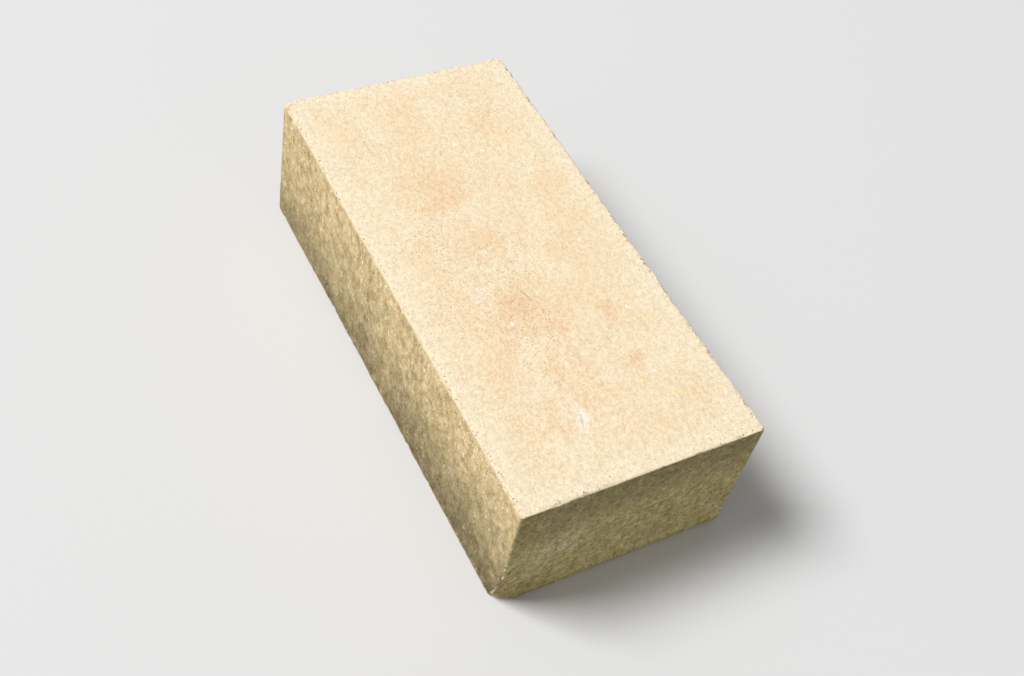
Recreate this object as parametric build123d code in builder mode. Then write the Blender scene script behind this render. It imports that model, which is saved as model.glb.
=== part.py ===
"""A solid, pressed and fired clay brick of plain shape, lying on its lower bed.

Millimetres. X runs along the length from header to header, Y across the width from stretcher face to
stretcher face, and Z up. The origin is the centre of the lower bed.
"""

import os
from dataclasses import dataclass

from build123d import *

# Size over the faces, once fired.
length = 240.0
width = 114.0
height = 70.0

# Rounding that the mould box and the punches leave on the edges.
upright_radius = 1.2  # the four upright edges
upper_arris_radius = 0.8  # round the upper bed
lower_arris_radius = 1.0  # round the lower bed

# Signs that place a corner along the length, across the width and up the height.
near, far = 1, -1
right, left = 1, -1
top, bottom = 1, -1


@dataclass
class KnockedCorner:
    """A corner knocked or worn round, and how far the damage runs from its tip along each edge."""

    place: tuple[int, int, int]
    along: float
    across: float
    upright: float
    flatness: float = 1.0  # 1 is worn smooth, and more is a flatter break with a crisper rim


knocked_corners = [
    KnockedCorner((near, left, bottom), along=6.5, across=11.0, upright=36.0, flatness=1.6),
    KnockedCorner((far, left, top), along=5.0, across=5.0, upright=4.5),
    KnockedCorner((far, right, top), along=5.5, across=4.5, upright=4.0),
    KnockedCorner((near, right, top), along=3.0, across=3.5, upright=3.0),
]


def corner_waste(corner: KnockedCorner) -> Part:
    """What a knock takes off: the block between the tip and the three reaches, less an ellipsoid.

    The ellipsoid's centre lies as many reaches from the tip as the flatness says. Its half axes are the
    reaches times the one number that brings it through each edge at that edge's reach.
    """
    end, side, level = corner.place
    tip = Vector(end * length / 2, side * width / 2, height if level == top else 0)
    towards_tip = Vector(end * corner.along, side * corner.across, level * corner.upright)
    swell = ((corner.flatness - 1) ** 2 + 2 * corner.flatness**2) ** 0.5
    with BuildPart() as ellipsoid:
        Sphere(swell)
        scale(by=(corner.along, corner.across, corner.upright))
    with BuildPart() as waste:
        with Locations(tip):
            Box(2 * corner.along, 2 * corner.across, 2 * corner.upright)
        with Locations(tip - towards_tip * corner.flatness):
            add(ellipsoid.part, mode=Mode.SUBTRACT)
    return waste.part


wastes = [corner_waste(corner) for corner in knocked_corners]

with BuildPart() as brick:
    # The mould box's plan, pressed from bed to bed.
    with BuildSketch():
        RectangleRounded(length, width, upright_radius)
    extrude(amount=height)
    fillet(brick.edges().group_by(Axis.Z)[-1], radius=upper_arris_radius)
    fillet(brick.edges().group_by(Axis.Z)[0], radius=lower_arris_radius)
    # The knocked corners.
    add(wastes, mode=Mode.SUBTRACT)

brick.part.label = "brick"

os.makedirs("parts", exist_ok=True)
export_step(brick.part, "parts/brick.step")
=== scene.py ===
import math
from typing import NamedTuple

import bpy
import numpy as np
from mathutils import Matrix, Vector


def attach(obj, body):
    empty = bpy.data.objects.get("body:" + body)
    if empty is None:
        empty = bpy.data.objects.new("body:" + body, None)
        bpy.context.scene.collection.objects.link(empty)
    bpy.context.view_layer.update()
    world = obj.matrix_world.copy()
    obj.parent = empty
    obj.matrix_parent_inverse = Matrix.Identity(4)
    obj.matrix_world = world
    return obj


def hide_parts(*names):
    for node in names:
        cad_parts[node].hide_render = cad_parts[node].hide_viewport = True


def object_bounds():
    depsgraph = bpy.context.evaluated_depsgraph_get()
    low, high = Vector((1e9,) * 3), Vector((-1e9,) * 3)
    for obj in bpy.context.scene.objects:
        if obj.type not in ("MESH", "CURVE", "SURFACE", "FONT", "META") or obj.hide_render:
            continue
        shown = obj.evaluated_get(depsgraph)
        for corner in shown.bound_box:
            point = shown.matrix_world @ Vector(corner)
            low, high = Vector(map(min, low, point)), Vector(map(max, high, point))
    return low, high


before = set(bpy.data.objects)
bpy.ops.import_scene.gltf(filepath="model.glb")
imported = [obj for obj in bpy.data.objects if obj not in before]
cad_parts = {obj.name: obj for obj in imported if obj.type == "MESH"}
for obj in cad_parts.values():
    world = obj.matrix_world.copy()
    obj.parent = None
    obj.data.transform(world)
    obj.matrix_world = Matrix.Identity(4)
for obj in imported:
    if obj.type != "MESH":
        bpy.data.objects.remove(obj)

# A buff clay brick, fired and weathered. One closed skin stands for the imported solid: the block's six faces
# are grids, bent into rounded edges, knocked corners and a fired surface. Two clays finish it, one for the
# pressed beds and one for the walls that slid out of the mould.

solid_low, solid_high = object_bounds()

# The brick is worked out in millimetres, and only the finished mesh is in metres.
MM = 0.001
LENGTH, WIDTH, HEIGHT = (round(side / MM, 3) for side in solid_high - solid_low)
HALF_PLAN = np.array([LENGTH, WIDTH]) / 2.0

# Rounding of the edges, as on the solid.
UPRIGHT_RADIUS = 1.2
UPPER_ARRIS_RADIUS = 0.8
LOWER_ARRIS_RADIUS = 1.0

# Knocked corners, as on the solid: the sides that the tip is on, the reach along each edge, the flatness.
KNOCKS = {
    "broken_foot": ((1, -1, -1), (6.5, 11.0, 36.0), 1.6),
    "worn_far_left": ((-1, -1, 1), (5.0, 5.0, 4.5), 1.0),
    "worn_far_right": ((-1, 1, 1), (5.5, 4.5, 4.0), 1.0),
    "worn_near_right": ((1, 1, 1), (3.0, 3.5, 3.0), 1.0),
}

# Spacing of the skin's grid lines: place along the edge, and spacing there. Fine at the arrises and round
# the broken foot, coarse inside the faces.
LENGTH_GRADING = (
    (-120, 0.30), (-117, 0.34), (-105, 1.9), (60, 1.9), (100, 1.2), (112, 0.5), (117, 0.32), (120, 0.30)
)
WIDTH_GRADING = ((-57, 0.30), (-54, 0.33), (-43, 0.6), (-30, 1.9), (45, 1.9), (54, 0.34), (57, 0.30))
HEIGHT_GRADING = ((0, 0.30), (3, 0.35), (27, 0.9), (60, 1.2), (67, 0.34), (70, 0.30))

# Heights of the relief, in millimetres.
SLOW_SWELL = 0.12  # unevenness over a hand's breadth
BED_TOOTH = 0.02
WALL_TOOTH = 0.055
PIT_DEPTH = 0.22
ARRIS_FRETTING = 0.4  # all along the arrises
ARRIS_CRUMB = 1.2  # where a crumb has come out
BREAK_LUMPS = 1.1
BREAK_SINK = 0.15
RIM_FLAKE = 0.5
RIM_SINK = 0.2


def smooth(value, low, high):
    """0 below low, 1 above high, and 3t^2 - 2t^3 between them."""
    t = np.clip((value - low) / (high - low), 0.0, 1.0)
    return t * t * (3.0 - 2.0 * t)


def lattice_noise(points, cell, seed):
    """Smooth noise from -1 to 1: random values on a lattice of that cell, blended by 3t^2 - 2t^3 along
    each axis between the eight lattice points round a point. The lattice repeats after 64 cells."""
    table = np.random.default_rng(seed).uniform(-1.0, 1.0, (64, 64, 64))
    scaled = points / np.asarray(cell, float)
    base = np.floor(scaled).astype(int)
    t = scaled - base
    t = t * t * (3.0 - 2.0 * t)
    total = np.zeros(len(points))
    for corner in np.ndindex(2, 2, 2):
        weight = np.prod(np.where(corner, t, 1.0 - t), axis=1)
        i, j, k = ((base + corner) % 64).T
        total += weight * table[i, j, k]
    return total


def rough_noise(points, cell, seed, octaves=4, gain=0.6):
    """Sum of lattice noises, each with half the cell and gain times the height of the one before."""
    heights = gain ** np.arange(octaves)
    layers = [
        height * lattice_noise(points, np.asarray(cell, float) / 2**n, seed + n)
        for n, height in enumerate(heights)
    ]
    return np.sum(layers, axis=0) / np.sqrt((heights**2).sum())


def pock_marks(points, cell, radius, seed, share):
    """Depth from 0 to 1 of round pits: that share of the lattice cells hold one pit each, at a random
    place and of a random radius. A pit's depth is (1 - d^2 / r^2)^2 at distance d from its middle."""
    rng = np.random.default_rng(seed)
    place = rng.uniform(0.0, 1.0, (32, 32, 32, 3))
    size = radius * rng.uniform(0.45, 1.0, (32, 32, 32))
    size[rng.uniform(0.0, 1.0, size.shape) > share] = 1e-3
    base = np.floor(points / cell).astype(int)
    depth = np.zeros(len(points))
    for corner in np.ndindex(3, 3, 3):
        here = base + np.array(corner) - 1
        i, j, k = (here % 32).T
        away = ((points - (here + place[i, j, k]) * cell) ** 2).sum(1) / size[i, j, k] ** 2
        depth = np.maximum(depth, np.clip(1.0 - away, 0.0, 1.0) ** 2)
    return depth


def graded_stops(grading):
    """Grid lines along one edge: the sum of 1 / spacing from one end is divided into equal steps, and
    each step's place is read back from it."""
    places, spacings = np.array(grading, float).T
    s = np.linspace(places[0], places[-1], 8000)
    density = 1.0 / np.interp(s, places, spacings)
    lines = np.concatenate([[0.0], np.cumsum((density[1:] + density[:-1]) / 2.0) * (s[1] - s[0])])
    return np.interp(np.linspace(0.0, lines[-1], round(lines[-1]) + 1), lines, s)


def box_faces():
    """Six grids over the faces of the plain block, each a function of two parameters that run along two
    edges so that their cross product points outwards."""
    stops = [graded_stops(grading) for grading in (LENGTH_GRADING, WIDTH_GRADING, HEIGHT_GRADING)]
    grids = []
    for u, v, fixed, level in (
        (0, 1, 2, HEIGHT),
        (1, 0, 2, 0.0),
        (1, 2, 0, LENGTH / 2.0),
        (2, 1, 0, -LENGTH / 2.0),
        (2, 0, 1, WIDTH / 2.0),
        (0, 2, 1, -WIDTH / 2.0),
    ):
        grid = np.empty((len(stops[u]), len(stops[v]), 3))
        grid[..., u] = stops[u][:, None]
        grid[..., v] = stops[v][None, :]
        grid[..., fixed] = level
        grids.append(grid)
    return grids


def weld(grids):
    """One closed mesh from the grids: points at the same place become one point."""
    points = np.concatenate([grid.reshape(-1, 3) for grid in grids])
    quads, start = [], 0
    for grid in grids:
        rows, columns = grid.shape[:2]
        index = start + np.arange(rows * columns).reshape(rows, columns)
        quads.append(
            np.stack([index[:-1, :-1], index[1:, :-1], index[1:, 1:], index[:-1, 1:]], -1).reshape(-1, 4)
        )
        start += rows * columns
    keys = np.round(points * 1e4).astype(np.int64)
    _, first, where = np.unique(keys, axis=0, return_index=True, return_inverse=True)
    return points[first], where.reshape(-1)[np.concatenate(quads)]


def vertex_normals(points, quads):
    """Unit normals: the cross products of the quads' diagonals, summed over the quads at each point."""
    corner = points[quads]
    across = np.cross(corner[:, 2] - corner[:, 0], corner[:, 3] - corner[:, 1])
    total = np.stack(
        [np.bincount(quads.ravel(), np.repeat(across[:, axis], 4), len(points)) for axis in range(3)], -1
    )
    return total / np.linalg.norm(total, axis=1, keepdims=True)


def round_uprights(points):
    """Rounds the plan: in each corner square of side r, the offset q from the arc's centre is scaled by
    its larger part over its length, which turns squares round the centre into circles."""
    out = points.copy()
    offset = np.abs(points[:, :2]) - (HALF_PLAN - UPRIGHT_RADIUS)
    corner = (offset > 0.0).all(1)
    q = offset[corner]
    q *= (q.max(1) / np.hypot(*q.T))[:, None]
    out[corner, :2] = np.sign(points[corner, :2]) * (HALF_PLAN - UPRIGHT_RADIUS + q)
    return out


def outline_distance(points):
    """Distance in from the rounded plan's outline, and the direction straight out to it."""
    q = np.abs(points[:, :2]) - (HALF_PLAN - UPRIGHT_RADIUS)
    beyond = np.maximum(q, 0.0)
    length = np.hypot(*beyond.T)
    inset = UPRIGHT_RADIUS - length - np.minimum(q.max(1), 0.0)
    nearest = (q == q.max(1, keepdims=True)).astype(float)
    outward = np.where(length[:, None] > 1e-9, beyond / np.maximum(length, 1e-9)[:, None], nearest)
    outward /= np.hypot(*outward.T)[:, None]
    return inset, outward * np.where(points[:, :2] < 0.0, -1.0, 1.0)


def left_crisp(points):
    """1 at the near header, whose arrises came through crisp, falling to 0 by 3 mm behind its face."""
    return smooth(points[:, 0], LENGTH / 2.0 - 3.0, LENGTH / 2.0 - 1.0)


def round_arrises(points):
    """Rounds the edges round both beds: in the square of side r between bed and wall, the offset (a, b)
    from the arc's centre is scaled by its larger part over its length. The radius wanders along the
    outline, and swells where the arris has been nibbled."""
    out = points.copy()
    inset, outward = outline_distance(points)
    foot = np.column_stack([points[:, :2] + outward * inset[:, None], np.zeros(len(points))])
    wander = rough_noise(foot, 6.0, 11, octaves=4, gain=0.7)
    nibble = smooth(rough_noise(foot, 5.0, 23, octaves=3), 0.15, 0.8) * (1.25 - 1.0 * left_crisp(foot))
    for depth, side, radius in (
        (HEIGHT - points[:, 2], -1.0, UPPER_ARRIS_RADIUS * (0.9 + 0.40 * wander + nibble)),
        (points[:, 2], 1.0, LOWER_ARRIS_RADIUS * (1.1 - 0.45 * wander + 0.6 * nibble)),
    ):
        a, b = radius - inset, radius - depth
        edge = (a > 0.0) & (b > 0.0)
        shrink = np.ones(len(points))
        shrink[edge] = np.maximum(a, b)[edge] / np.hypot(a, b)[edge]
        out[:, :2] -= outward * np.where(edge, a * (1.0 - shrink), 0.0)[:, None]
        out[:, 2] += side * np.where(edge, b * (1.0 - shrink), 0.0)
    return out


def knock_corners(points):
    """Moves what a knock took off straight towards the middle of the solid's ellipsoid, onto it. Returns
    the points, and how deep the damage is at each in millimetres."""
    out = points.copy()
    damage = np.zeros(len(points))
    for sides, reach, flatness in KNOCKS.values():
        sides, reach = np.array(sides), np.array(reach)
        tip = sides * [LENGTH / 2.0, WIDTH / 2.0, HEIGHT / 2.0] + [0.0, 0.0, HEIGHT / 2.0]
        u = (tip - out) * sides / reach
        near = (u < 1.2).all(1)
        from_centre = flatness - u[near]
        swell = math.sqrt((flatness - 1.0) ** 2 + 2.0 * flatness**2)
        shrink = np.minimum(swell / np.linalg.norm(from_centre, axis=1), 1.0)
        moved = tip - (flatness - from_centre * shrink[:, None]) * reach * sides
        damage[near] = np.maximum(damage[near], np.linalg.norm(moved - out[near], axis=1))
        out[near] = moved
    return out, damage


def relief(points, normals, damage):
    """Height of the surface above its smooth form, in millimetres: slow unevenness, a tooth that is finer
    on the beds than on the walls, pits, crumbled arrises, and the rough face and flaked rim of a break."""
    inset, _ = outline_distance(points)
    below = HEIGHT - points[:, 2]
    bed = smooth(np.abs(normals[:, 2]), 0.75, 0.95)
    slow = SLOW_SWELL * rough_noise(points, 55.0, 31, octaves=2)
    tooth = rough_noise(points, 3.4, 37, octaves=3, gain=0.7)
    pits = pock_marks(points, 10.0, 1.2, 41, share=0.35)
    to_arris = np.minimum(np.hypot(inset, below), np.hypot(inset, points[:, 2]))
    arris = np.exp(-((to_arris / 1.3) ** 2)) * (1.0 - 0.6 * left_crisp(points))
    crumble = rough_noise(points, 2.6, 43, octaves=4, gain=0.8)
    fracture = smooth(damage, 0.25, 1.3)
    lumps = rough_noise(points, 4.6, 47, octaves=4, gain=0.65)
    rim = smooth(damage, 0.02, 0.2) * (1.0 - smooth(damage, 0.5, 1.2))
    flakes = np.maximum(rough_noise(points, 1.7, 61, octaves=2), 0.0)
    height = slow + (WALL_TOOTH + (BED_TOOTH - WALL_TOOTH) * bed) * tooth - PIT_DEPTH * pits
    height -= arris * (ARRIS_FRETTING * np.abs(crumble) + ARRIS_CRUMB * smooth(crumble, 0.2, 0.8))
    height += fracture * (BREAK_LUMPS * lumps - BREAK_SINK)
    height += rim * (RIM_FLAKE * flakes - RIM_SINK)
    return height


def add_attribute(mesh, name, values):
    """Stores one number a point on the mesh, for its materials to read."""
    layer = mesh.attributes.new(name, "FLOAT", "POINT")
    layer.data.foreach_set("value", np.asarray(values, np.float32))


def make_brick_skin():
    """The whole skin of the brick: the box grids, then rounded edges, knocked corners, and the relief
    along the normals of that smooth form. Nothing stands out past the solid's own box."""
    block, quads = weld(box_faces())
    smooth_form, damage = knock_corners(round_arrises(round_uprights(block)))
    normals = vertex_normals(smooth_form, quads)
    points = smooth_form + normals * relief(smooth_form, normals, damage)[:, None]
    points = np.clip(points, [-LENGTH / 2.0, -WIDTH / 2.0, 0.0], [LENGTH / 2.0, WIDTH / 2.0, HEIGHT])
    mesh = bpy.data.meshes.new("brick_skin")
    mesh.from_pydata(points * MM, [], quads)
    mesh.polygons.foreach_set("use_smooth", np.ones(len(quads), bool))
    add_attribute(mesh, "damage", damage)
    # upturn is how far the surface faces up; the wall clay paints a highlight from it.
    add_attribute(mesh, "upturn", vertex_normals(points, quads)[:, 2])
    bed_faces = np.abs(block[quads][:, :, 2] - HEIGHT / 2.0).min(1) > HEIGHT / 2.0 - 1e-3
    mesh.polygons.foreach_set("material_index", np.where(bed_faces, 0, 1))
    mesh.validate()
    mesh.update()
    piece = bpy.data.objects.new("brick_skin", mesh)
    bpy.context.scene.collection.objects.link(piece)
    return piece


# Shader wiring


def add_node(tree, kind, inputs=(), **settings):
    """Adds a node, sets its properties, and links or sets its inputs by name or number."""
    node = tree.nodes.new(kind)
    for name, value in settings.items():
        setattr(node, name, value)
    for key, value in dict(inputs).items():
        if isinstance(value, bpy.types.NodeSocket):
            tree.links.new(value, node.inputs[key])
        else:
            node.inputs[key].default_value = value
    return node


def calc(tree, operation, *values, clamp=False):
    """One step of arithmetic on numbers."""
    return add_node(
        tree, "ShaderNodeMath", enumerate(values), operation=operation, use_clamp=clamp
    ).outputs[0]


def vector_calc(tree, operation, *values):
    """One step of arithmetic on vectors."""
    return add_node(tree, "ShaderNodeVectorMath", enumerate(values), operation=operation).outputs[0]


def scaled(tree, vector, factor):
    """The vector times a number."""
    return add_node(tree, "ShaderNodeVectorMath", {0: vector, 3: factor}, operation="SCALE").outputs[0]


def ramp(tree, value, low, high, to_low=0.0, to_high=1.0):
    """A smooth step from to_low at low to to_high at high."""
    inputs = {"Value": value, "From Min": low, "From Max": high, "To Min": to_low, "To Max": to_high}
    return add_node(tree, "ShaderNodeMapRange", inputs, interpolation_type="SMOOTHSTEP").outputs["Result"]


def tint(tree, factor, below, above, blend="MIX"):
    """Lays one colour over another."""
    inputs = {0: factor, 6: below, 7: above}
    return add_node(tree, "ShaderNodeMix", inputs, data_type="RGBA", blend_type=blend).outputs[2]


def axes(tree, vector):
    """The three parts of a vector."""
    return add_node(tree, "ShaderNodeSeparateXYZ", {0: vector}).outputs


def plan_inset(tree, x, y):
    """Distance in from the nearest wall, and so the smaller of those from an end and from a side."""
    from_end = calc(tree, "SUBTRACT", LENGTH / 2.0, calc(tree, "ABSOLUTE", x))
    from_side = calc(tree, "SUBTRACT", WIDTH / 2.0, calc(tree, "ABSOLUTE", y))
    return calc(tree, "MINIMUM", from_end, from_side)


def noise(tree, position, size, detail=2.0, roughness=0.5):
    """Cloudy noise about 0.5, with features of that size in millimetres."""
    scale = calc(tree, "DIVIDE", 1.0, size)
    inputs = {"Vector": position, "Scale": scale, "Detail": detail, "Roughness": roughness}
    return add_node(tree, "ShaderNodeTexNoise", inputs, noise_dimensions="3D").outputs["Fac"]


def new_group(name, inputs, outputs):
    """A shader node group with named inputs, each with its kind and value, and named outputs."""
    tree = bpy.data.node_groups.new(name, "ShaderNodeTree")
    for label, value in inputs.items():
        kind = {3: "Vector", 4: "Color"}.get(len(value)) if isinstance(value, tuple) else "Float"
        socket = tree.interface.new_socket(label, in_out="INPUT", socket_type="NodeSocket" + kind)
        socket.default_value = value
    for label, kind in outputs.items():
        tree.interface.new_socket(label, in_out="OUTPUT", socket_type="NodeSocket" + kind)
    given = tree.nodes.new("NodeGroupInput").outputs
    result = tree.nodes.new("NodeGroupOutput").inputs
    return tree, given, result


ORIGIN = (0.0, 0.0, 0.0)


def make_clay_grains():
    """Round grains or pores: cells of the spacing hold one each, in that share of the cells, with radii
    up to size times the spacing. Mask is 1 inside a grain."""
    tree, given, result = new_group(
        "clay_grains",
        {"Position": ORIGIN, "Spacing": 1.0, "Share": 0.3, "Size": 0.3, "Softness": 0.5},
        {"Mask": "Float"},
    )
    place = scaled(tree, given["Position"], calc(tree, "DIVIDE", 1.0, given["Spacing"]))
    cells = add_node(tree, "ShaderNodeTexVoronoi", {"Vector": place, "Scale": 1.0}, feature="F1").outputs
    chance = add_node(tree, "ShaderNodeSeparateColor", {0: cells["Color"]}).outputs
    radius = calc(tree, "MULTIPLY", given["Size"], calc(tree, "MULTIPLY_ADD", chance[1], 0.65, 0.35))
    core = calc(tree, "MULTIPLY", radius, calc(tree, "SUBTRACT", 1.0, given["Softness"]))
    disc = ramp(tree, cells["Distance"], core, radius, 1.0, 0.0)
    there = calc(tree, "LESS_THAN", chance[0], given["Share"])
    tree.links.new(calc(tree, "MULTIPLY", disc, there), result["Mask"])
    return tree


def make_clay_mottle():
    """Soft patches: cloudy noise of the patch size, stepped smoothly between two levels."""
    tree, given, result = new_group(
        "clay_mottle",
        {"Position": ORIGIN, "Patch": 10.0, "From": 0.4, "To": 0.6, "Detail": 3.0, "Roughness": 0.5},
        {"Mask": "Float"},
    )
    cloud = noise(tree, given["Position"], given["Patch"], given["Detail"], given["Roughness"])
    tree.links.new(ramp(tree, cloud, given["From"], given["To"]), result["Mask"])
    return tree


def make_clay_tooth():
    """Height in millimetres of the tooth of fired clay: noise that is as steep at each halving of the
    grain size, so its height halves with it."""
    tree, given, result = new_group(
        "clay_tooth",
        {"Position": ORIGIN, "Grain": 1.2, "Octaves": 4.0, "Height": 0.05},
        {"Height": "Float"},
    )
    cloud = noise(tree, given["Position"], given["Grain"], given["Octaves"], 0.55)
    centred = calc(tree, "SUBTRACT", cloud, 0.5)
    tree.links.new(calc(tree, "MULTIPLY", centred, given["Height"]), result["Height"])
    return tree


def make_sandy_shade():
    """Evenly rough light and shade of sandy clay: noise with the same strength at every scale from the
    coarse size down, as a factor about 1 for the colour, least in red and most in blue."""
    tree, given, result = new_group(
        "sandy_shade",
        {"Position": ORIGIN, "Coarse": 12.0, "Octaves": 5.0, "Strength": 0.3, "Colour": (1.0, 1.0, 1.0, 1.0)},
        {"Colour": "Color", "Level": "Float"},
    )
    cloud = noise(tree, given["Position"], given["Coarse"], given["Octaves"], 1.0)
    level = calc(tree, "SUBTRACT", cloud, 0.5)
    swing = calc(tree, "MULTIPLY", level, given["Strength"])
    channels = {i: calc(tree, "MULTIPLY_ADD", swing, share, 1.0) for i, share in enumerate((1.0, 1.12, 1.4))}
    factor = add_node(tree, "ShaderNodeCombineColor", channels).outputs[0]
    tree.links.new(tint(tree, 1.0, given["Colour"], factor, "MULTIPLY"), result["Colour"])
    tree.links.new(level, result["Level"])
    return tree


def make_arris_rub():
    """Mask of the rubbed arrises: 1 on the upper and lower edges, fading over the reach on both faces,
    and broken up by noise. Strip is a patchy band on the beds just inside them, where crumbs have come
    out."""
    tree, given, result = new_group(
        "arris_rub", {"Position": ORIGIN, "Reach": 1.4}, {"Mask": "Float", "Strip": "Float"}
    )
    position = given["Position"]
    x, y, z = axes(tree, position)
    inset = plan_inset(tree, x, y)
    off_middle = calc(tree, "ABSOLUTE", calc(tree, "SUBTRACT", z, HEIGHT / 2.0))
    from_bed = calc(tree, "SUBTRACT", HEIGHT / 2.0, off_middle)
    uneven = calc(tree, "MULTIPLY_ADD", noise(tree, position, 2.2, 3.0, 0.7), 3.0, -1.5)
    to_arris = calc(tree, "ADD", calc(tree, "MAXIMUM", inset, from_bed), uneven)
    tree.links.new(ramp(tree, to_arris, 0.0, given["Reach"], 1.0, 0.0), result["Mask"])
    wander = calc(tree, "MULTIPLY_ADD", uneven, 0.5, inset)
    strip = calc(tree, "MULTIPLY", ramp(tree, wander, 0.2, 0.7), ramp(tree, wander, 1.3, 2.6, 1.0, 0.0))
    on_bed = ramp(tree, from_bed, 0.5, 0.9, 1.0, 0.0)
    patchy = ramp(tree, noise(tree, position, 16.0, 3.0, 0.7), 0.36, 0.58, 0.3, 1.0)
    tree.links.new(calc(tree, "MULTIPLY", strip, calc(tree, "MULTIPLY", on_bed, patchy)), result["Strip"])
    return tree


def make_broken_clay():
    """Lays the crumbly body of the clay over the skin where the damage is deep: a browner, coarser mass
    with pale grains, and pale flakes brightened by a painted highlight on the side of the break towards the
    left stretcher."""
    tree, given, result = new_group(
        "broken_clay",
        {"Position": ORIGIN, "Damage": 0.0, "Colour": (1.0, 1.0, 1.0, 1.0), "Height": 0.0,
         "Body": BROKEN_BODY, "Hollow": BROKEN_HOLLOW, "Flake And Highlight": BROKEN_FLAKE_AND_HIGHLIGHT},
        {"Colour": "Color", "Height": "Float"},
    )
    position, damage = given["Position"], given["Damage"]
    wobble = calc(tree, "MULTIPLY_ADD", noise(tree, position, 1.8, 3.0, 0.6), 1.6, -0.8)
    depth = calc(tree, "MULTIPLY_ADD", wobble, ramp(tree, damage, 0.0, 0.3), damage)
    inside = ramp(tree, depth, 0.25, 0.8)
    coarse = noise(tree, position, 1.5, 4.0, 0.7)
    body = tint(tree, ramp(tree, coarse, 0.38, 0.62), given["Hollow"], given["Body"])
    pale = add_node(tree, "ShaderNodeGroup", node_tree=GRAINS)
    for name, value in (("Spacing", 1.5), ("Share", 0.35), ("Size", 0.4), ("Softness", 0.7)):
        pale.inputs[name].default_value = value
    tree.links.new(position, pale.inputs["Position"])
    body = tint(tree, calc(tree, "MULTIPLY", pale.outputs["Mask"], 0.5), body, given["Flake And Highlight"])
    colour = tint(tree, inside, given["Colour"], body)
    x, y, _ = axes(tree, position)
    reach_x, reach_y, _ = KNOCKS["broken_foot"][1]
    along = calc(tree, "DIVIDE", calc(tree, "SUBTRACT", LENGTH / 2.0, x), reach_x)
    across = calc(tree, "DIVIDE", calc(tree, "ADD", WIDTH / 2.0, y), reach_y)
    # Painted highlight: the pale flakes are laid only on the lit side of the break, towards the left
    # stretcher.
    at_left = ramp(tree, calc(tree, "SUBTRACT", along, across), -0.3, 0.1)
    rim = calc(tree, "MULTIPLY", ramp(tree, depth, 0.0, 0.15), ramp(tree, depth, 1.5, 4.0, 1.0, 0.0))
    flake_highlight = calc(tree, "MULTIPLY", rim, ramp(tree, noise(tree, position, 2.0, 3.0, 0.6), 0.44, 0.54))
    flake_highlight = calc(tree, "MULTIPLY", flake_highlight, at_left)
    colour = tint(tree, calc(tree, "MULTIPLY", flake_highlight, 0.9), colour, given["Flake And Highlight"])
    tree.links.new(colour, result["Colour"])
    rough = calc(tree, "MULTIPLY", calc(tree, "SUBTRACT", coarse, 0.5), 1.2)
    tree.links.new(calc(tree, "MULTIPLY_ADD", inside, rough, given["Height"]), result["Height"])
    return tree


def make_bed_mark():
    """Mask of one mark on the upper bed: an oval with its centre, half length, half width and turn from
    the length of the brick. Its edge is made ragged by noise of the grain size."""
    tree, given, result = new_group(
        "bed_mark",
        {"Position": ORIGIN, "Centre": ORIGIN, "Half Length": 1.0, "Half Width": 1.0, "Turn": 0.0,
         "Ragged": 0.5, "Grain": 1.0, "Softness": 0.6},
        {"Mask": "Float"},
    )
    offset = vector_calc(tree, "SUBTRACT", given["Position"], given["Centre"])
    back_turn = {"Vector": offset, "Angle": calc(tree, "MULTIPLY", given["Turn"], -1.0)}
    turned = add_node(tree, "ShaderNodeVectorRotate", back_turn, rotation_type="Z_AXIS").outputs[0]
    x, y, _ = axes(tree, turned)
    u = calc(tree, "DIVIDE", x, given["Half Length"])
    v = calc(tree, "DIVIDE", y, given["Half Width"])
    away = calc(tree, "SQRT", calc(tree, "MULTIPLY_ADD", u, u, calc(tree, "MULTIPLY", v, v)))
    wobble = calc(tree, "SUBTRACT", noise(tree, given["Position"], given["Grain"], 4.0, 0.65), 0.5)
    edge = calc(tree, "MULTIPLY_ADD", wobble, calc(tree, "MULTIPLY", given["Ragged"], 4.0), away)
    oval = ramp(tree, edge, calc(tree, "SUBTRACT", 1.0, given["Softness"]), 1.0, 1.0, 0.0)
    z = axes(tree, given["Position"])[2]
    on_top = calc(tree, "GREATER_THAN", z, HEIGHT / 2.0)
    tree.links.new(calc(tree, "MULTIPLY", oval, on_top), result["Mask"])
    return tree


# Colours of the clay, in linear light.
BED_CREAM = (0.885, 0.765, 0.555, 1.0)
BED_BUFF = (0.865, 0.705, 0.475, 1.0)
BED_PEACH = (0.845, 0.620, 0.385, 1.0)
BED_RUST = (0.820, 0.545, 0.330, 1.0)
BED_PIT = (0.42, 0.285, 0.175, 1.0)
BED_PORE = (0.59, 0.405, 0.265, 1.0)
BED_SAND = (0.96, 0.87, 0.68, 1.0)
BED_UMBER = (0.52, 0.31, 0.20, 1.0)
BED_RED = (0.80, 0.43, 0.30, 1.0)
LIME_WHITE = (0.93, 0.90, 0.80, 1.0)
LILAC_GREY = (0.84, 0.78, 0.78, 1.0)
SULPHUR = (0.88, 0.83, 0.36, 1.0)
WALL_TAN = (0.735, 0.580, 0.312, 1.0)
WALL_WARM = (0.850, 0.635, 0.350, 1.0)
WALL_UMBER = (0.540, 0.410, 0.205, 1.0)
# WALL_GRIME_AND_SHADE is partly grime and partly painted shade: it darkens the feet of the stretchers and the
# top of the near header.
WALL_GRIME_AND_SHADE = (0.180, 0.145, 0.072, 1.0)
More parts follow.
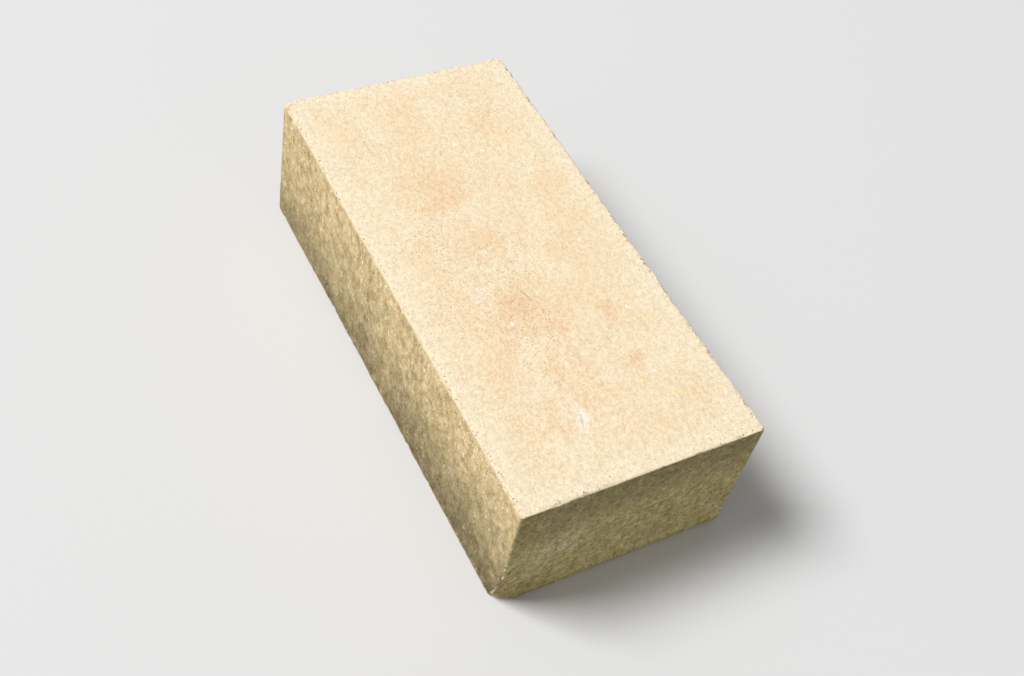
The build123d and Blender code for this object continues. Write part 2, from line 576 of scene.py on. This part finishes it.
# WALL_DUN_AND_BOUNCE_LIGHT is the header's clay partly tinted by painted green reflected light;
# WALL_PAINTED_LIGHT is painted light on the header's foot.
WALL_DUN_AND_BOUNCE_LIGHT = (0.670, 0.550, 0.235, 1.0)
WALL_PAINTED_LIGHT = (0.920, 0.770, 0.330, 1.0)
WALL_ASH = (0.830, 0.740, 0.420, 1.0)
WALL_DIRT = (0.430, 0.315, 0.130, 1.0)
WALL_FLECK = (0.980, 0.850, 0.570, 1.0)
WALL_PORE = (0.300, 0.210, 0.100, 1.0)
FLECK_SHADE = (1.34, 1.35, 1.37, 1.0)
PORE_SHADE = (0.78, 0.76, 0.71, 1.0)
# ARRIS_RUB_AND_HIGHLIGHT is the rubbed arrises' tan, and on the walls also a painted highlight where they
# face up.
ARRIS_RUB_AND_HIGHLIGHT = (0.840, 0.670, 0.450, 1.0)
BROKEN_BODY = (0.86, 0.67, 0.34, 1.0)
BROKEN_HOLLOW = (0.56, 0.42, 0.19, 1.0)
# BROKEN_FLAKE_AND_HIGHLIGHT is the pale grains of the broken clay, and on the break's left rim also a painted
# highlight.
BROKEN_FLAKE_AND_HIGHLIGHT = (0.97, 0.87, 0.58, 1.0)

GRAINS = make_clay_grains()
MOTTLE = make_clay_mottle()
TOOTH = make_clay_tooth()
SANDY = make_sandy_shade()
ARRIS = make_arris_rub()
BREAK = make_broken_clay()
MARK = make_bed_mark()


class Clay:
    """One clay material as it is laid up: its node tree, the place on the brick in millimetres, the place
    that its grains are set by, and the colour and the height so far."""

    def __init__(self, name, colour):
        self.material = bpy.data.materials.new(name)
        self.material.use_nodes = True
        self.tree = self.material.node_tree
        coordinates = add_node(self.tree, "ShaderNodeTexCoord").outputs["Object"]
        self.position = scaled(self.tree, coordinates, 1.0 / MM)
        self.grain_position = self.position
        self.colour, self.height = colour, 0.0

    def place(self, group, **values):
        """Places a node group with its own values. An underscore in a name stands for a space."""
        node = add_node(self.tree, "ShaderNodeGroup", node_tree=group)
        for name, value in {"Position": self.position, **values}.items():
            socket = node.inputs[name.replace("_", " ")]
            if isinstance(value, bpy.types.NodeSocket):
                self.tree.links.new(value, socket)
            else:
                socket.default_value = value
        return node.outputs

    def grains(self, spacing, share, size, softness=0.5):
        """Grains by their spacing, the share of places that hold one, and size as a part of the spacing."""
        values = {"Spacing": spacing, "Share": share, "Size": size, "Softness": softness}
        return self.place(GRAINS, Position=self.grain_position, **values)["Mask"]

    def mottle(self, patch, low, high, detail=3.0, roughness=0.5, shift=0.0):
        """Soft patches. A shift takes them from another part of the noise."""
        moved = vector_calc(self.tree, "ADD", self.position, (shift, 0.37 * shift, 0.61 * shift))
        values = {"Patch": patch, "From": low, "To": high, "Detail": detail, "Roughness": roughness}
        return self.place(MOTTLE, Position=moved, **values)["Mask"]

    def times(self, *masks):
        """The product of masks and strengths."""
        total = masks[0]
        for mask in masks[1:]:
            total = calc(self.tree, "MULTIPLY", total, mask)
        return total

    def lay(self, colour, *masks):
        """Lays a colour over the clay where all the masks are."""
        self.colour = tint(self.tree, self.times(*masks), self.colour, colour)

    def shade(self, factor, *masks):
        """Multiplies the clay's colour by a factor where all the masks are."""
        self.colour = tint(self.tree, self.times(*masks), self.colour, factor, "MULTIPLY")

    def attribute(self, name):
        """A number stored on the mesh."""
        return add_node(self.tree, "ShaderNodeAttribute", attribute_name=name).outputs["Fac"]

    def mask(self, mark):
        """Mask of one mark of the upper bed."""
        return self.place(
            MARK,
            Centre=(*mark.centre, HEIGHT),
            Half_Length=mark.half_length,
            Half_Width=mark.half_width,
            Turn=math.radians(mark.turn),
            Ragged=mark.ragged,
            Grain=mark.grain,
            Softness=mark.softness,
        )["Mask"]

    def mark(self, mark):
        """Lays one mark of the upper bed."""
        self.lay(mark.colour, self.mask(mark), mark.strength)

    def lift(self, height, mask=1.0):
        """Raises the clay by a height in millimetres where the mask is."""
        self.height = calc(self.tree, "MULTIPLY_ADD", height, mask, self.height)

    def finish(self, roughness):
        """Lays the break over the clay and feeds the shader."""
        tree = self.tree
        broken = self.place(BREAK, Damage=self.attribute("damage"), Colour=self.colour, Height=self.height)
        shader = tree.nodes["Principled BSDF"]
        shader.inputs["Specular IOR Level"].default_value = 0.25
        tree.links.new(broken["Colour"], shader.inputs["Base Color"])
        tree.links.new(roughness, shader.inputs["Roughness"])
        bump = add_node(tree, "ShaderNodeBump", {"Height": broken["Height"], "Strength": 1.0, "Distance": MM})
        tree.links.new(bump.outputs["Normal"], shader.inputs["Normal"])
        return self.material


class BedMark(NamedTuple):
    """A mark on the upper bed: its colour and strength, then its centre, half length and half width, its
    turn in degrees from the length, and how ragged, how grainy and how soft its edge is."""

    colour: tuple
    strength: float
    centre: tuple
    half_length: float
    half_width: float
    turn: float = 0.0
    ragged: float = 0.25
    grain: float = 0.9
    softness: float = 0.7


def bloom(colour, strength, centre, half_length, half_width, turn=0.0):
    """A soft patch that the kiln left: a mark with a broad, cloudy edge."""
    return BedMark(colour, strength, centre, half_length, half_width, turn, 0.55, 0.8 * half_width, 0.95)


# Soft colour of the upper bed, from the kiln and from the bricks stacked on it.
BED_BLOOMS = {
    "peach_far": bloom(BED_PEACH, 0.80, (-48, -13), 22, 20),
    "peach_far_end": bloom(BED_PEACH, 0.45, (-86, -12), 26, 16),
    "peach_middle": bloom(BED_PEACH, 0.70, (-12, -6), 20, 13),
    "peach_near": bloom(BED_PEACH, 0.85, (30, -8), 20, 24),
    "peach_wide": bloom(BED_PEACH, 0.60, (76, -8), 34, 24),
    "peach_near_left": bloom(BED_PEACH, 0.55, (52, -30), 30, 11),
    "peach_far_right": bloom(BED_PEACH, 0.55, (-78, 28), 15, 12),
    "peach_right": bloom(BED_PEACH, 0.45, (-37, 38), 9, 15),
    "peach_middle_right": bloom(BED_PEACH, 0.30, (0, 26), 40, 18),
    "rust_near": bloom(BED_RUST, 0.45, (44, 2), 9, 7, 30),
    "rust_right": bloom(BED_RUST, 0.50, (43, 26), 11, 7, 10),
    "rust_corner": bloom(BED_RUST, 0.60, (69, 24), 6, 11, 20),
    "rust_left": bloom(BED_RUST, 0.35, (24, -10), 12, 10, 30),
    "rust_far": bloom(BED_RUST, 0.25, (-44, -10), 14, 12, 30),
    "ash": bloom(BED_CREAM, 0.60, (-95, 8), 14, 9, 20),
}

# Smaller marks of the upper bed: a scuff, flecks of lime, red grog, and fine scratches.
BED_MARKS = {
    "scuff": BedMark(LIME_WHITE, 0.66, (88.6, -13.2), 10.0, 3.7, -16, 0.30, 2.2, 0.7),
    "scuff_lobe": BedMark(LIME_WHITE, 0.60, (87.6, -10.4), 4.8, 2.4, 5, 0.30, 1.6, 0.7),
    "scuff_streak": BedMark(BED_PORE, 0.50, (88.2, -13.2), 3.8, 0.8, -18, 0.40, 1.2, 0.8),
    "lilac_smear": BedMark(LILAC_GREY, 0.75, (14.7, -22.3), 3.4, 1.5, -22, 0.35, 1.5, 0.8),
    "sulphur_spot": BedMark(SULPHUR, 0.45, (90.3, 32.5), 3.6, 2.8, 60, 0.35, 1.8, 0.9),
    "red_spot_near": BedMark(BED_RED, 0.50, (45.0, 3.6), 3.0, 2.3, 30, 0.35, 1.6, 0.9),
    "red_spot_left": BedMark(BED_RED, 0.50, (90.0, -22.8), 1.3, 1.0),
    "red_spot_scuff": BedMark(BED_RED, 0.35, (91.0, -7.4), 2.2, 1.8),
    "red_spot_middle": BedMark(BED_RED, 0.45, (11.7, -17), 1.2, 1.0),
    "umber_streak": BedMark(BED_UMBER, 0.65, (23.8, -11.4), 2.6, 0.8, 118, 0.4, 1.2),
    "umber_spot": BedMark(BED_UMBER, 0.45, (-8.0, -10.6), 2.2, 0.8, 20, 0.4, 1.2),
    "lime_near_left": BedMark(LIME_WHITE, 0.78, (34.7, -16.8), 1.7, 1.4),
    "lime_near_middle": BedMark(LIME_WHITE, 0.74, (61.7, -5), 1.9, 1.3, 20),
    "lime_near_right": BedMark(LIME_WHITE, 0.74, (77.5, 28.3), 1.6, 1.4),
    "lime_right": BedMark(LIME_WHITE, 0.78, (43, 35.2), 1.6, 1.3, 40),
    "lime_middle": BedMark(LIME_WHITE, 0.66, (53.8, 3.8), 1.4, 1.1),
    "lime_far": BedMark(LIME_WHITE, 0.70, (-70.8, 7.5), 2.2, 1.4, 20),
    "lime_far_right": BedMark(LIME_WHITE, 0.61, (-63.3, 18), 1.8, 1.4),
    "lime_right_side": BedMark(LIME_WHITE, 0.49, (2, 34.3), 1.6, 1.4),
    "lime_left_side": BedMark(LIME_WHITE, 0.49, (2.5, -42.8), 1.6, 1.3),
    "hair_scratch": BedMark(BED_UMBER, 0.70, (22.1, -3.9), 6.6, 0.65, 19, 0.40, 1.6, 0.9),
    "score_left": BedMark(BED_PORE, 0.40, (-81, -32), 11, 0.45, 2, 0.25, 2.0, 0.9),
    "score_inner": BedMark(BED_PORE, 0.30, (-78, -29), 8, 0.40, 4, 0.25, 2.0, 0.9),
}


def make_pressed_bed_clay():
    """Clay of the beds: cream at the rim, buff inside with peach blooms, sandy, with fine pores that are
    densest in the left half."""
    clay = Clay("pressed_bed_clay", BED_BUFF)
    tree, position = clay.tree, clay.position
    clay.lay(BED_CREAM, clay.mottle(20.0, 0.46, 0.66, 4.0, 0.6), 0.7)
    clay.lay(BED_PEACH, clay.mottle(13.0, 0.48, 0.64, 4.0, 0.65, shift=300.0), 0.35)
    for mark in BED_BLOOMS.values():
        clay.mark(mark)
    x, y, _ = axes(tree, position)
    raggedness = noise(tree, position, 14.0, 4.0, 0.6)
    ragged_inset = calc(tree, "MULTIPLY_ADD", raggedness, 24.0, plan_inset(tree, x, y))
    clay.lay(BED_CREAM, ramp(tree, ragged_inset, 13.0, 28.0, 1.0, 0.0), 0.85)
    for mark in BED_MARKS.values():
        clay.mark(mark)
    sandy = clay.place(SANDY, Coarse=2.4, Octaves=3.0, Strength=0.82, Colour=clay.colour)
    clay.colour = sandy["Colour"]
    clay.lay(BED_SAND, clay.grains(0.9, 0.4, 0.5, 0.8), 0.5)

    speckled = clay.mottle(20.0, 0.36, 0.64, 4.0, 0.7, shift=200.0)
    pocked = clay.mask(BedMark(BED_PORE, 1.0, (12, -18), 78, 42, 0, 0.5, 22, 0.95))
    dusted = calc(tree, "MULTIPLY_ADD", speckled, 0.40, calc(tree, "MULTIPLY_ADD", pocked, 0.50, 0.20))
    fine_pores = clay.times(clay.grains(0.95, 0.5, 0.55, 0.7), dusted)
    pores = clay.times(clay.grains(1.7, 0.5, 0.36, 0.8), dusted)
    spots = clay.times(clay.grains(5.5, 0.45, 0.21, 0.9), clay.grains(1.1, 0.8, 0.75, 0.6))
    pits = clay.times(clay.grains(5.2, 0.4, 0.12, 0.6), 0.55)
    clay.lay(BED_PORE, fine_pores)
    clay.lay(BED_PIT, pores, 0.75)
    clay.lay(BED_PIT, spots, 0.6)
    clay.lay(BED_PIT, pits)
    clay.lay(BED_RED, clay.grains(7.0, 0.2, 0.12, 0.9), 0.3)
    clay.lay(LIME_WHITE, clay.grains(11.0, 0.12, 0.08, 0.8), 0.6)

    arris = clay.place(ARRIS, Reach=1.5)
    crumbs = clay.times(arris["Strip"], clay.grains(1.3, 0.6, 0.55, 0.5))
    clay.lay(ARRIS_RUB_AND_HIGHLIGHT, arris["Mask"], 0.6)
    clay.lay(BED_PIT, crumbs, 0.6)
    clay.lift(clay.place(TOOTH, Grain=1.4, Octaves=3.0, Height=0.28)["Height"])
    clay.lift(-0.10, fine_pores)
    clay.lift(-0.14, pores)
    clay.lift(-0.20, pits)
    clay.lift(-0.30, crumbs)
    return clay.finish(ramp(tree, sandy["Level"], -0.2, 0.2, 0.82, 0.94))


def colour_stretchers(clay, stretcher, climb):
    """Grime and painted shade that thin from the foot up, higher towards the near end, on warm tan clay with
    umber patches.
    """
    clay.lay(WALL_WARM, clay.mottle(22.0, 0.44, 0.64, 2.0, 0.5), 0.75)
    clay.lay(WALL_UMBER, clay.mottle(15.0, 0.50, 0.68, 3.0, 0.55, shift=130.0), 0.5)
    # Painted shade with some grime: the stretchers darken towards the foot, most at the near end.
    clay.lay(WALL_GRIME_AND_SHADE, ramp(clay.tree, climb, 4.0, 76.0, 1.0, 0.0), stretcher, 0.96)


def colour_near_header(clay, header, y, ragged_z):
    """Dun clay, partly its own colour and partly painted green reflected light, lighter at the bottom by
    painted light and darker below the upper arris by painted shade, with ashy patches, one of them broad, and
    dirt at the left foot."""
    tree = clay.tree
    # Partly the clay's own colour and partly painted green light reflected onto the near header.
    clay.lay(WALL_DUN_AND_BOUNCE_LIGHT, header, 0.88)
    clay.lay(WALL_UMBER, clay.mottle(12.0, 0.50, 0.68, 3.0, 0.55, shift=40.0), header, 0.4)
    # Painted light: the near header is lightened towards its foot.
    clay.lay(WALL_PAINTED_LIGHT, ramp(tree, ragged_z, 12.0, 44.0, 1.0, 0.0), header, 0.75)
    clay.lay(WALL_ASH, clay.mottle(9.0, 0.50, 0.66, 3.0, 0.6, shift=70.0), header, 0.6)
    patch_height = clay.times(ramp(tree, ragged_z, 36.0, 48.0), ramp(tree, ragged_z, 56.0, 70.0, 1.0, 0.0))
    patch_width = clay.times(ramp(tree, y, -52.0, -40.0), ramp(tree, y, -30.0, -12.0, 1.0, 0.0))
    clay.lay(WALL_ASH, patch_height, patch_width, header, 0.5)
    # Painted shade: the near header is darkened below its upper arris.
    clay.lay(WALL_GRIME_AND_SHADE, ramp(tree, ragged_z, 52.0, 84.0), header, 0.52)
    left_foot = clay.times(ramp(tree, ragged_z, 26.0, 36.0, 1.0, 0.0), ramp(tree, y, -46.0, -22.0, 1.0, 0.0))
    clay.lay(WALL_DIRT, left_foot, header, 0.75)


def make_mould_wall_clay():
    """Clay of the walls: the colours of the stretchers and of the near header, then pale flecks in
    clusters, streaks and dark pores. The mould dragged the grain upright, most of all on the stretchers.
    The arrises are rubbed to a paler tan, and a painted highlight lightens the walls where they turn upwards."""
    clay = Clay("mould_wall_clay", WALL_TAN)
    tree, position = clay.tree, clay.position
    x, y, z = axes(tree, position)
    header = calc(tree, "GREATER_THAN", x, LENGTH / 2.0 - 1.0)
    stretcher = calc(tree, "SUBTRACT", 1.0, header)
    ragged_z = calc(tree, "MULTIPLY_ADD", noise(tree, position, 16.0, 3.0, 0.55), 34.0, z)
    colour_stretchers(clay, stretcher, calc(tree, "MULTIPLY_ADD", x, -0.08, ragged_z))
    colour_near_header(clay, header, y, ragged_z)
    warm_top = clay.times(ramp(tree, ragged_z, 50.0, 85.0), clay.mottle(9.0, 0.42, 0.60, shift=170.0))
    clay.lay(WALL_WARM, warm_top, stretcher, 0.6)
    clay.lay(WALL_UMBER, clay.mottle(5.0, 0.50, 0.64, 3.0, 0.6, shift=210.0), 0.38)

    squeeze = {0: 1.0, 1: 1.0, 2: calc(tree, "MULTIPLY_ADD", header, 0.35, 0.65)}
    upright = add_node(tree, "ShaderNodeCombineXYZ", squeeze).outputs[0]
    dragged = vector_calc(tree, "MULTIPLY", position, upright)
    drawn_out = vector_calc(tree, "MULTIPLY", dragged, (1.0, 1.0, 0.28))
    clay.grain_position = dragged
    sandy = clay.place(
        SANDY,
        Position=dragged,
        Coarse=4.0,
        Octaves=4.0,
        Strength=calc(tree, "MULTIPLY_ADD", header, 0.4, 2.9),
        Colour=clay.colour,
    )
    clay.colour = sandy["Colour"]
    clusters = calc(tree, "MULTIPLY_ADD", clay.mottle(12.0, 0.42, 0.58, shift=260.0), 0.65, 0.45)
    flecks = clay.times(clay.grains(1.9, 0.5, 0.48, 0.5), clusters)
    bright = clay.grains(4.4, 0.4, 0.26, 0.4)
    pores = clay.grains(2.5, 0.5, 0.50, 0.8)
    pits = clay.times(clay.grains(6.0, 0.35, 0.15, 0.6), 0.25)
    streaks = clay.place(GRAINS, Position=drawn_out, Spacing=2.6, Share=0.7, Size=0.38, Softness=0.8)["Mask"]
    clay.shade(FLECK_SHADE, streaks, calc(tree, "MULTIPLY_ADD", stretcher, 0.5, 0.2))
    clay.shade(FLECK_SHADE, flecks)
    clay.lay(WALL_FLECK, flecks, 0.16)
    clay.shade(FLECK_SHADE, bright)
    clay.lay(WALL_FLECK, bright, 0.22)
    clay.shade(PORE_SHADE, pores, calc(tree, "MULTIPLY_ADD", header, -0.3, 0.8))
    clay.lay(WALL_PORE, pits)

    arris = clay.place(ARRIS, Reach=2.6)
    crumbs = clay.times(arris["Mask"], clay.grains(1.9, 0.5, 0.45, 0.5))
    clay.lay(ARRIS_RUB_AND_HIGHLIGHT, arris["Mask"], stretcher, 0.75)
    # Painted highlight: the walls are lightened where the surface turns upwards, as on the upper arris.
    clay.lay(ARRIS_RUB_AND_HIGHLIGHT, ramp(tree, clay.attribute("upturn"), 0.15, 0.6))
    clay.lay(WALL_PORE, crumbs, 0.5)
    clay.lift(clay.place(TOOTH, Position=dragged, Grain=1.6, Octaves=3.0, Height=0.36)["Height"])
    clay.lift(0.16, streaks)
    clay.lift(0.20, flecks)
    clay.lift(0.26, bright)
    clay.lift(-0.12, pores)
    clay.lift(-0.15, pits)
    clay.lift(-0.40, crumbs)
    return clay.finish(ramp(tree, sandy["Level"], -0.2, 0.2, 0.86, 0.96))


skin = make_brick_skin()
skin.data.materials.append(make_pressed_bed_clay())
skin.data.materials.append(make_mould_wall_clay())
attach(skin, "root")
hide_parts("brick")

# Floor

FLOOR_REACH = 4.0
FLOOR_SEEN = (0.72, 0.72, 0.72, 1.0)
FLOOR_FELT = (0.36, 0.36, 0.36, 1.0)


def pale_to_camera(tree, seen, felt):
    """The colour seen, for what the camera sees straight or in gloss and glass, and the colour felt, for
    the light that falls on the brick."""
    path = add_node(tree, "ShaderNodeLightPath").outputs
    shown = calc(tree, "ADD", path["Is Camera Ray"], path["Is Glossy Ray"])
    shown = calc(tree, "ADD", shown, path["Is Transmission Ray"], clamp=True)
    return tint(tree, shown, felt, seen)


floor_mesh = bpy.data.meshes.new("studio_floor")
floor_corners = [(x * FLOOR_REACH, y * FLOOR_REACH, 0.0) for x, y in ((-1, -1), (1, -1), (1, 1), (-1, 1))]
floor_mesh.from_pydata(floor_corners, [], [(0, 1, 2, 3)])
floor = bpy.data.objects.new("studio_floor", floor_mesh)
bpy.context.scene.collection.objects.link(floor)
floor_paint = bpy.data.materials.new("floor_paint")
floor_paint.use_nodes = True
floor_shader = floor_paint.node_tree.nodes["Principled BSDF"]
floor_shader.inputs["Roughness"].default_value = 1.0
floor_shader.inputs["Specular IOR Level"].default_value = 0.0
floor_paint.node_tree.links.new(
    pale_to_camera(floor_paint.node_tree, FLOOR_SEEN, FLOOR_FELT), floor_shader.inputs["Base Color"]
)
floor.data.materials.append(floor_paint)

# Camera

LENS_MM = 47.32
VIEW_AZIMUTH = math.radians(50.92)
VIEW_ELEVATION = math.radians(50.03)
VIEW_ROLL = math.radians(14.87)
VIEW_TARGET = Vector((0.01860, -0.00191, 0.035))
VIEW_DISTANCE = 0.60276

back = Vector(
    (
        math.sin(VIEW_AZIMUTH) * math.cos(VIEW_ELEVATION),
        -math.cos(VIEW_AZIMUTH) * math.cos(VIEW_ELEVATION),
        math.sin(VIEW_ELEVATION),
    )
)
camera_data = bpy.data.cameras.new("photo_camera")
camera_data.lens = LENS_MM
camera_data.sensor_width = 36.0
camera_data.clip_start = 0.01
camera = bpy.data.objects.new("photo_camera", camera_data)
level = (-back).to_track_quat("-Z", "Y").to_matrix().to_4x4()
camera.matrix_world = (
    Matrix.Translation(VIEW_TARGET + back * VIEW_DISTANCE) @ level @ Matrix.Rotation(VIEW_ROLL, 4, "Z")
)
bpy.context.scene.collection.objects.link(camera)
bpy.context.scene.camera = camera

# Light

scene = bpy.context.scene
scene.view_settings.view_transform = "Standard"
AIR_SEEN = (0.78, 0.78, 0.78, 1.0)
AIR_FELT = (0.30, 0.30, 0.30, 1.0)
world = bpy.data.worlds.new("studio_air")
world.use_nodes = True
world.node_tree.links.new(
    pale_to_camera(world.node_tree, AIR_SEEN, AIR_FELT), world.node_tree.nodes["Background"].inputs["Color"]
)
scene.world = world


def add_softbox(name, direction, distance, size, power):
    """A square lamp that hangs in that direction from the brick and faces it."""
    data = bpy.data.lights.new(name, "AREA")
    data.shape = "SQUARE"
    data.size = size
    data.energy = power
    lamp = bpy.data.objects.new(name, data)
    towards = Vector(direction).normalized()
    lamp.location = towards * distance
    lamp.rotation_mode = "QUATERNION"
    lamp.rotation_quaternion = towards.to_track_quat("Z", "Y")
    scene.collection.objects.link(lamp)


add_softbox("key_softbox", direction=(-0.30, -0.51, 0.81), distance=12.0, size=4.66, power=1480.0)
